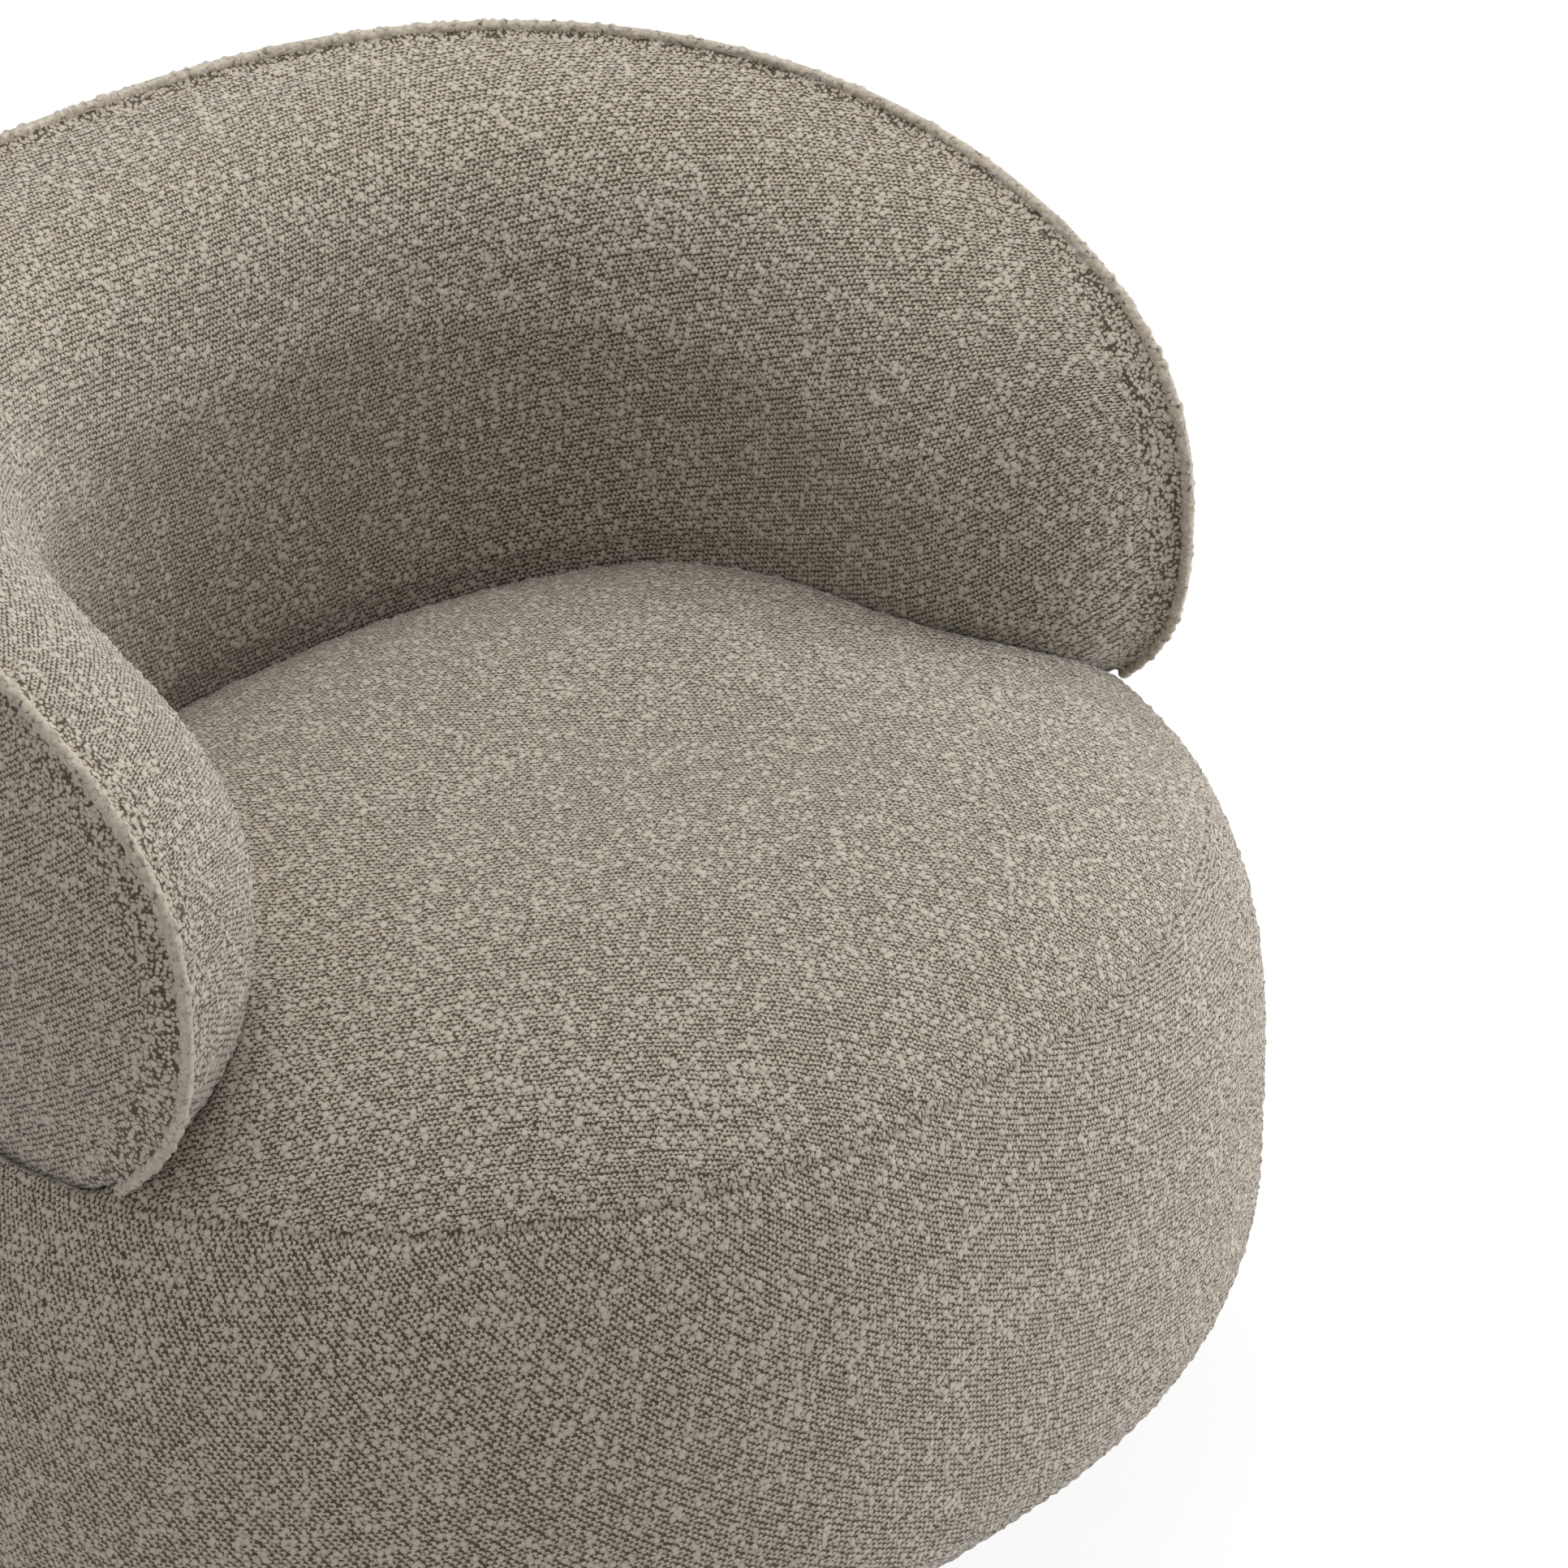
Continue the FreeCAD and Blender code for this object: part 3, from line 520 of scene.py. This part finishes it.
def lay_cloth(piece, pattern):
    """Writes the flat pattern of each panel as the piece's UV map, face by face."""
    mesh = piece.data
    corner_vertex = np.empty(len(mesh.loops), np.int32)
    mesh.loops.foreach_get("vertex_index", corner_vertex)
    starts = np.empty(len(mesh.polygons), np.int32)
    counts = np.empty(len(mesh.polygons), np.int32)
    centres = np.empty(len(mesh.polygons) * 3, np.float32)
    mesh.polygons.foreach_get("loop_start", starts)
    mesh.polygons.foreach_get("loop_total", counts)
    mesh.polygons.foreach_get("center", centres)
    corner_face = np.repeat(np.arange(len(starts)), counts)
    centres = centres.reshape(-1, 3).astype(np.float64)
    flat = pattern(points_of(piece)[corner_vertex], centres[corner_face])
    layer = mesh.uv_layers.new(name="cloth")
    layer.data.foreach_set("uv", flat.astype(np.float32).ravel())


# The cloth's look: sizes in metres, gaps and knots in shares of a loop's or a tuft's pitch
FIBRE_SIZE = 0.0009
WANDER_SIZE = 0.012
PATCH_SIZE = 0.030
NAP_HEIGHT = 0.0016
HEAP_PITCH_SHARE, HEAP_SPREAD, WELT_SPREAD = 0.8, 0.8, 0.52
GAP_EDGE = (0.31, 0.51)
KNOT_EDGE = (0.56, 0.42)
KNOT_CHANCE = (0.50, 0.60)
# Darkest and lightest shares of the yarn's colour: its random tone, and the painted shade and highlight
# on loops and knots
YARN_SHADE, YARN_LIGHT = 0.62, 1.18


# Shader maths, written as expressions on sockets

class Value:
    """A number that changes over a surface."""

    def __init__(self, finish, socket):
        self.finish, self.socket = finish, socket

    def maths(self, operation, *others):
        return self.finish.node("Math", {"operation": operation}, [self, *others])[0]

    def __add__(self, other):
        return self.maths("ADD", other)

    def __sub__(self, other):
        return self.maths("SUBTRACT", other)

    def __mul__(self, other):
        return self.maths("MULTIPLY", other)

    def __truediv__(self, other):
        return self.maths("DIVIDE", other)

    def __rsub__(self, other):
        return self.finish.node("Math", {"operation": "SUBTRACT"}, [other, self])[0]

    __radd__ = __add__
    __rmul__ = __mul__

    def between(self, low, high):
        """0 below low, 1 above high and a smooth step between them; low may be the larger."""
        return self.finish.node("MapRange", {"interpolation_type": "SMOOTHSTEP"},
                                {"Value": self, "From Min": low, "From Max": high})[0]

    def at_most(self, other):
        return self.maths("MINIMUM", other)

    def at_least(self, other):
        return self.maths("MAXIMUM", other)


class Nodes:
    """The nodes of one material or world. They all come from node()."""

    def __init__(self, tree):
        self.tree = tree

    def node(self, kind, settings=None, values=None):
        """Adds a node; returns its outputs as Values."""
        made = self.tree.nodes.new("ShaderNode" + kind)
        for key, value in (settings or {}).items():
            setattr(made, key, value)
        pairs = values.items() if isinstance(values, dict) else enumerate(values or [])
        for key, value in pairs:
            if isinstance(value, Value):
                self.tree.links.new(value.socket, made.inputs[key])
            else:
                made.inputs[key].default_value = value
        return [Value(self, socket) for socket in made.outputs]

    def show(self, shader, output):
        self.tree.links.new(shader.socket, self.tree.nodes[output].inputs["Surface"])


class Finish(Nodes):
    """One node material."""

    def __init__(self, name, **constants):
        self.material = bpy.data.materials.new(name)
        self.material.use_nodes = True
        super().__init__(self.material.node_tree)
        self.shader = self.tree.nodes["Principled BSDF"]
        for key, value in constants.items():
            self.shader.inputs[key.replace("_", " ").title()].default_value = value

    def place(self):
        """Object coordinates."""
        outputs = self.node("TexCoord")
        return next(each for each in outputs if each.socket.name == "Object")

    def stretched(self, vector, scale):
        return self.node("Mapping", None, {"Vector": vector, "Scale": scale})[0]

    def noise(self, vector, size, detail=2.0, roughness=0.5):
        values = {"Vector": vector, "Scale": 1 / size, "Detail": detail, "Roughness": roughness}
        return self.node("TexNoise", None, values)[0]

    def blend(self, factor, first, second):
        """Mixes two colours. The Mix node's sockets share names, so its colours go by number."""
        first = first if isinstance(first, Value) else (*first, 1.0)
        second = second if isinstance(second, Value) else (*second, 1.0)
        return self.node("Mix", {"data_type": "RGBA"}, {0: factor, 6: first, 7: second})[2]

    def feed(self, **sockets):
        for key, value in sockets.items():
            self.tree.links.new(value.socket, self.shader.inputs[key.replace("_", " ").title()])

    def bump(self, height, distance, strength=1.0):
        return self.node("Bump", None, {"Height": height, "Distance": distance, "Strength": strength})[0]


def shaded(colour, share):
    return tuple(channel * share for channel in colour)


def loops_in_rows(finish, cloth):
    """How far away the nearest loop's middle is, and that loop's own colour, in staggered rows."""
    pattern = finish.node("UVMap", {"uv_map": "cloth"})[0]
    wander = finish.noise(pattern, WANDER_SIZE) - 0.5
    u, v, _ = finish.node("SeparateXYZ", None, [pattern])
    row = v / cloth.row_pitch + wander * 0.7
    stagger = (row.maths("FLOOR") * 0.5).maths("FRACT")
    along = u / cloth.loop_pitch + stagger + wander * 0.4
    cell = finish.node("CombineXYZ", None, [along, row, 0.0])[0]
    return finish.node("TexVoronoi", {"voronoi_dimensions": "2D"},
                       {"Vector": cell, "Scale": 1.0, "Randomness": 0.3})[:2]


def loops_in_heap(finish, place, pitch):
    """The same for loops that lie anyhow."""
    return finish.node("TexVoronoi", None, {"Vector": place, "Scale": 1 / pitch, "Randomness": 0.8})[:2]


def boucle(cloth, name="looped_boucle", in_rows=True):
    """Looped yarn on a dark ground, with raised knots. Its loops lie in rows, gathered near the welt."""
    finish = Finish(name, roughness=0.95, sheen_weight=cloth.sheen, sheen_roughness=0.45)
    finish.shader.inputs["Specular IOR Level"].default_value = 0.15
    place = finish.place()
    if in_rows:
        row_away, own = loops_in_rows(finish, cloth)
        heap_away, _ = loops_in_heap(finish, place, cloth.loop_pitch * HEAP_PITCH_SHARE)
        gathered = finish.node("Attribute", {"attribute_name": "gathered"})[2]
        away = row_away * (1 - gathered) + heap_away * HEAP_SPREAD * gathered
    else:
        heap_away, own = loops_in_heap(finish, place, cloth.loop_pitch)
        away = heap_away * WELT_SPREAD
    chance = finish.node("SeparateXYZ", None, [own])[0]
    fibre = finish.noise(place, FIBRE_SIZE, 3.0, 0.6)
    gap = (away + (fibre - 0.5) * 0.14).between(*GAP_EDGE)
    tufts = finish.node("TexVoronoi", None,
                        {"Vector": place, "Scale": 1 / cloth.tuft_size, "Randomness": 1.0})
    patches = finish.noise(place, PATCH_SIZE)
    picked = finish.node("SeparateXYZ", None, [tufts[1]])[1] + (patches - 0.5) * 1.2
    edge = tufts[0] + (fibre - 0.5) * 0.18
    knotted = edge.between(*KNOT_EDGE) * picked.between(*KNOT_CHANCE)
    dome = (1 - tufts[0] * tufts[0] * 2.2) * knotted
    pale, knot_colour, ground = (tuple(each) for each in (cloth.loop_colour, cloth.knot_colour,
                                                          cloth.ground_colour))
    # Each loop's colour: random tone from chance and fibre, and painted shade that darkens the loop
    # toward its edge (away)
    loop = finish.blend((chance * 0.5 + fibre * 0.5) * (1 - away * 0.5),
                        shaded(pale, YARN_SHADE), shaded(pale, YARN_LIGHT))
    # Each knot's colour: random tone from fibre, and a painted highlight at the knot's middle that falls
    # to painted shade at its edge (dome)
    knot = finish.blend((fibre * 0.5 + dome * 0.6).at_most(1.0),
                        shaded(knot_colour, YARN_SHADE), knot_colour)
    cover = finish.blend(gap * (1 - knotted), finish.blend(knotted, loop, knot), ground)
    # How near the seam crease a point is; the cloth's colour is darkened there as painted shade
    seam_shade = finish.node("Attribute", {"attribute_name": "seam_shade"})[2]
    height = (1 - away * away * 2.0) * (1 - knotted) * 0.45 + (knotted + dome) * 0.45 + fibre * 0.25
    # Base colour: the cloth, blended toward the dark ground in seam creases as painted shade
    finish.feed(base_color=finish.blend(seam_shade * 0.12, cover, ground),
                normal=finish.bump(height, NAP_HEIGHT, 0.9))
    return finish.material


def wood(name, pale, dark, grain_size, roughness, coat=0.0):
    """Grain drawn out along X, in two browns."""
    finish = Finish(name, roughness=roughness, coat_weight=coat)
    along = finish.stretched(finish.place(), (0.12, 1.0, 1.0))
    grain = finish.noise(along, grain_size, 6.0, 0.6)
    finish.feed(base_color=finish.blend(grain.between(0.3, 0.7), pale, dark),
                roughness=grain * 0.2 + (roughness - 0.1), normal=finish.bump(grain, 0.0002, 0.4))
    return finish.material


def plies(name, pale, dark, ply):
    """Plywood: grain on its faces and thin level layers, seen at its edges."""
    finish = Finish(name, roughness=0.6)
    place = finish.place()
    grain = finish.noise(finish.stretched(place, (0.12, 1.0, 1.0)), 0.006, 6.0, 0.6)
    height = finish.node("SeparateXYZ", None, [place])[2]
    layer = (height / (2 * ply)).maths("FRACT").between(0.45, 0.55)
    shade = grain * 0.6 + layer * 0.4
    finish.feed(base_color=finish.blend(shade, pale, dark), normal=finish.bump(grain, 0.0002, 0.3))
    return finish.material


def metal(name, colour, roughness):
    """Zinc-plated steel: cloudy spangle and fine scratches."""
    finish = Finish(name, metallic=1.0, roughness=roughness)
    place = finish.place()
    cloud = finish.noise(place, 0.012, 3.0)
    scratch = finish.noise(finish.stretched(place, (0.05, 1.0, 1.0)), 0.0006)
    finish.feed(base_color=finish.blend(cloud, colour, shaded(colour, 0.8)),
                roughness=cloud * 0.15 + (roughness - 0.05), normal=finish.bump(scratch, 0.00003, 0.3))
    return finish.material


def moulded(name, colour):
    """Fine-textured moulded plastic."""
    finish = Finish(name, roughness=0.45)
    place = finish.place()
    pores = finish.noise(place, 0.0008)
    cloud = finish.noise(place, 0.02)
    finish.feed(base_color=finish.blend(cloud, colour, shaded(colour, 1.5)),
                normal=finish.bump(pores, 0.00005, 0.5))
    return finish.material


def foamed(name, colour):
    """Open-celled foam with small round pores."""
    finish = Finish(name, roughness=0.95)
    place = finish.place()
    pores = finish.node("TexVoronoi", None, {"Vector": place, "Scale": 1 / 0.0016})[0]
    cloud = finish.noise(place, 0.05)
    finish.feed(base_color=finish.blend(cloud, colour, shaded(colour, 0.85)),
                normal=finish.bump(pores, 0.0005, 0.5))
    return finish.material


def woven(name, colour, pitch):
    """Flat plain weave: two sets of threads that pass over and under each other."""
    finish = Finish(name, roughness=0.85)
    place = finish.place()
    x, y, _ = finish.node("SeparateXYZ", None, [place])
    over = ((x * (math.pi / pitch)).maths("SINE") * (y * (math.pi / pitch)).maths("SINE") + 1) * 0.5
    fibre = finish.noise(place, pitch / 3)
    finish.feed(base_color=finish.blend(over * 0.6 + fibre * 0.4, shaded(colour, 0.5), colour),
                normal=finish.bump(over, pitch / 4, 0.6))
    return finish.material


FINISHES = {
    "foam": lambda: foamed("foam", (0.80, 0.76, 0.62)),
    "plywood": lambda: plies("plywood", (0.66, 0.47, 0.28), (0.42, 0.26, 0.13), 0.0014),
    "board": lambda: wood("hardboard", (0.30, 0.18, 0.09), (0.20, 0.11, 0.05), 0.002, 0.7),
    "black_wood": lambda: wood("black_wood", (0.012, 0.011, 0.010), (0.022, 0.019, 0.017),
                               0.006, 0.45, 0.3),
    "steel": lambda: metal("zinc_steel", (0.62, 0.62, 0.60), 0.35),
    "nylon": lambda: moulded("nylon", (0.02, 0.02, 0.02)),
    "webbing": lambda: woven("webbing", (0.20, 0.13, 0.07), 0.0016),
    "dust_cloth": lambda: woven("dust_cloth", (0.02, 0.02, 0.022), 0.0009),
    "boucle": lambda: boucle(bpy.context.scene.tub_chair_cloth, "hidden_boucle", in_rows=False),
}


# Pieces

def dress(piece, material):
    """Gives a piece its one material and smooth shading."""
    piece.data.materials.clear()
    piece.data.materials.append(material)
    select_only(piece)
    bpy.ops.object.shade_smooth()


def cloth_material():
    """The cushions' cloth, made once."""
    found = bpy.data.materials.get("looped_boucle")
    return found or boucle(bpy.context.scene.tub_chair_cloth)


def sew_seam(piece, form):
    """Adds an edge loop at the seat's seam and turns the cloth in along it."""
    select_only(piece)
    bpy.ops.object.mode_set(mode="EDIT")
    bpy.ops.mesh.select_all(action="SELECT")
    bpy.ops.mesh.bisect(plane_co=(0, 0, SEAM_HEIGHT), plane_no=(0, 0, 1),
                        clear_inner=False, clear_outer=False)
    bpy.ops.mesh.select_more()
    bpy.ops.mesh.remove_doubles(threshold=form.mesh_step / 12)
    bpy.ops.object.mode_set(mode="OBJECT")
    turn_in(piece, points_of(piece)[:, 2] - SEAM_HEIGHT, form.seam_depth, form.seam_depth * 1.4)


class TUBCHAIR_OT_seat_cushion(bpy.types.Operator):
    """Ball-shaped seat with its top panel, side panel and seam"""
    bl_idname = "tubchair.seat_cushion"
    bl_label = "Seat cushion"

    def execute(self, context):
        form = context.scene.tub_chair_form
        back = surface_of(("inside_back_cover", "outside_back_cover"))

        def seams(points):
            height = points[:, 2]
            away = np.minimum(np.abs(height - SEAM_HEIGHT), np.maximum(height - HEM_HEIGHT, 0))
            return np.minimum(away, nearest_on(back, points)[1])

        piece = padded_cushion("seat_cushion", SOFT_SEAT_NODES, SEAT_PLUGS, seams, SEAT_HOLD, form)
        sew_seam(piece, form)
        raise_knots(piece, form)
        lay_cloth(piece, seat_pattern)
        dress(piece, cloth_material())
        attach(piece, "chair")
        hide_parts("seat_cover_top", "seat_cover_band", "seat_foam", "seat_side_foam")
        return {"FINISHED"}


class TUBCHAIR_OT_back_cushion(bpy.types.Operator):
    """Padded back that wraps round the seat, with its inside and outside panels"""
    bl_idname = "tubchair.back_cushion"
    bl_label = "Back cushion"

    def execute(self, context):
        form = context.scene.tub_chair_form
        edge = surface_of(("back_welt", "seat_cover_top", "seat_cover_band"))

        def seams(points):
            return nearest_on(edge, points)[1]

        piece = padded_cushion("back_cushion", SOFT_BACK_NODES, (), seams, BACK_HOLD, form)
        away = nearest_on(surface_of(("back_welt",)), points_of(piece))[1]
        turn_in(piece, away, form.seam_depth * 0.6, form.seam_depth * 1.4)
        turn = np.abs(turn_and_depth(points_of(piece))[0])
        width = GATHERED_WIDTH + GATHERED_MORE_AT_TIPS * eased(turn, *TIP_TURNS)
        mark_points(piece, "gathered", 1 - eased(away / width, 0.6, 1.0))
        raise_knots(piece, form)
        lay_cloth(piece, back_pattern)
        dress(piece, cloth_material())
        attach(piece, "chair")
        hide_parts("inside_back_cover", "outside_back_cover",
                    "inside_back_foam", "outside_back_foam")
        return {"FINISHED"}


class TUBCHAIR_OT_edge_welt(bpy.types.Operator):
    """Covered cord that is sewn along the edge of the back from arm to arm"""
    bl_idname = "tubchair.edge_welt"
    bl_label = "Edge welt"

    def execute(self, context):
        form = context.scene.tub_chair_form
        piece = copy_of_nodes("edge_welt", ("back_welt",))
        apply_modifier(piece, "REMESH", mode="VOXEL", voxel_size=WELT_MESH_STEP)
        apply_modifier(piece, "SMOOTH", factor=0.5, iterations=WELT_SMOOTHING)
        raise_knots(piece, form)
        dress(piece, boucle(context.scene.tub_chair_cloth, "gathered_boucle", in_rows=False))
        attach(piece, "chair")
        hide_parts("back_welt")
        return {"FINISHED"}


class TUBCHAIR_OT_frame_finishes(bpy.types.Operator):
    """Finishes of the wood, steel, foam, webbing and plastic pieces"""
    bl_idname = "tubchair.frame_finishes"
    bl_label = "Frame finishes"

    def execute(self, context):
        made = {slot: finish() for slot, finish in FINISHES.items()}
        for part in frame["record"]["subparts"]:
            node = frame["nodes"][part["node"]]
            node.data.materials.clear()
            node.data.materials.append(made[part["material_slot"]])
        return {"FINISHED"}


class TUBCHAIR_OT_studio(bpy.types.Operator):
    """Pale floor, soft lamps, world and camera"""
    bl_idname = "tubchair.studio"
    bl_label = "Studio"

    def execute(self, context):
        studio = context.scene.tub_chair_studio
        bpy.ops.object.select_all(action="DESELECT")
        bpy.ops.mesh.primitive_plane_add(size=FLOOR_SIZE, location=(0, 0, 0))
        floor = context.active_object
        floor.name = "floor"
        floor.data.materials.append(floor_finish())
        set_lights(studio)
        add_camera(studio)
        return {"FINISHED"}


def seen_directly(nodes):
    """1 for rays from the camera, from gloss and through glass, otherwise 0."""
    path = nodes.node("LightPath")
    names = {socket.socket.name: socket for socket in path}
    direct = names["Is Camera Ray"].at_least(names["Is Glossy Ray"])
    return direct.at_least(names["Is Transmission Ray"])


def floor_finish():
    """Pale floor that looks white by itself and keeps the chair's shadow."""
    finish = Finish("floor", roughness=0.9, base_color=(0.86, 0.86, 0.86, 1))
    glow = finish.node("Emission", None, {"Color": WHITE, "Strength": FLOOR_GLOW})[0]
    lit = Value(finish, finish.shader.outputs[0])
    shown = finish.node("MixShader", None, [seen_directly(finish) * FLOOR_GLOW_SHARE, lit, glow])[0]
    finish.show(shown, "Material Output")
    return finish.material


def make_world(studio):
    """Even light on the chair, seen as white."""
    world = bpy.data.worlds.new("studio")
    bpy.context.scene.world = world
    world.use_nodes = True
    world.node_tree.nodes.remove(world.node_tree.nodes["Background"])
    sky = Nodes(world.node_tree)
    even = sky.node("Background", None, {"Color": WHITE, "Strength": studio.world_strength})[0]
    white = sky.node("Background", None, {"Color": WHITE, "Strength": 1.0})[0]
    sky.show(sky.node("MixShader", None, [seen_directly(sky), even, white])[0], "World Output")


def add_lamp(name, place, target, size, power):
    """Square lamp that points from its place at a target."""
    bpy.ops.object.light_add(type="AREA", location=place)
    lamp = bpy.context.active_object
    lamp.name = name
    lamp.data.size = size
    lamp.data.energy = power
    aim = Vector(target) - Vector(place)
    lamp.rotation_euler = aim.to_track_quat("-Z", "Y").to_euler()


def set_lights(studio):
    make_world(studio)
    add_lamp("key", (0.5, 0.35, 2.6), (0.0, 0.0, 0.3), 2.0, studio.key_power)
    add_lamp("side", (2.3, -1.5, 0.45), (0.0, 0.0, 0.25), 1.0, studio.side_power)


def add_camera(studio):
    """Camera that stands off a target on the seat, and is then turned by a yaw and a pitch."""
    out = CAMERA_DISTANCE * math.cos(CAMERA_ELEVATION)
    place = (CAMERA_TARGET[0] - out * math.sin(CAMERA_AZIMUTH),
             CAMERA_TARGET[1] - out * math.cos(CAMERA_AZIMUTH),
             CAMERA_TARGET[2] + CAMERA_DISTANCE * math.sin(CAMERA_ELEVATION))
    turn = (math.pi / 2 - CAMERA_ELEVATION + CAMERA_PITCH, 0, -CAMERA_AZIMUTH - CAMERA_YAW)
    bpy.ops.object.camera_add(location=place, rotation=turn)
    camera = bpy.context.active_object
    camera.data.lens = studio.lens
    camera.data.sensor_width = 36.0
    camera.data.clip_end = 60.0
    bpy.context.scene.camera = camera


class TUBCHAIR_PT_panel(bpy.types.Panel):
    """Lists the pieces of the chair"""
    bl_label = "Tub chair"
    bl_idname = "TUBCHAIR_PT_panel"
    bl_space_type = "VIEW_3D"
    bl_region_type = "UI"
    bl_category = "Tub chair"

    def draw(self, context):
        for group in ("tub_chair_form", "tub_chair_cloth", "tub_chair_studio"):
            settings = getattr(context.scene, group)
            box = self.layout.box()
            for key in settings.bl_rna.properties.keys():
                if key not in ("rna_type", "name"):
                    box.prop(settings, key)
        for operator in OPERATORS:
            self.layout.operator(operator.bl_idname)


OPERATORS = (TUBCHAIR_OT_seat_cushion, TUBCHAIR_OT_back_cushion, TUBCHAIR_OT_edge_welt,
             TUBCHAIR_OT_frame_finishes, TUBCHAIR_OT_studio)
CLASSES = (TubChairForm, TubChairCloth, TubChairStudio, *OPERATORS, TUBCHAIR_PT_panel)


def register():
    for each in CLASSES:
        bpy.utils.register_class(each)
    bpy.types.Scene.tub_chair_form = bpy.props.PointerProperty(type=TubChairForm)
    bpy.types.Scene.tub_chair_cloth = bpy.props.PointerProperty(type=TubChairCloth)
    bpy.types.Scene.tub_chair_studio = bpy.props.PointerProperty(type=TubChairStudio)


def unregister():
    del bpy.types.Scene.tub_chair_studio
    del bpy.types.Scene.tub_chair_cloth
    del bpy.types.Scene.tub_chair_form
    for each in reversed(CLASSES):
        bpy.utils.unregister_class(each)


def main():
    register()
    bpy.context.scene.view_settings.view_transform = "Standard"
    bpy.ops.tubchair.seat_cushion()
    bpy.ops.tubchair.back_cushion()
    bpy.ops.tubchair.edge_welt()
    bpy.ops.tubchair.frame_finishes()
    bpy.ops.tubchair.studio()


if __name__ == "__main__":
    main()
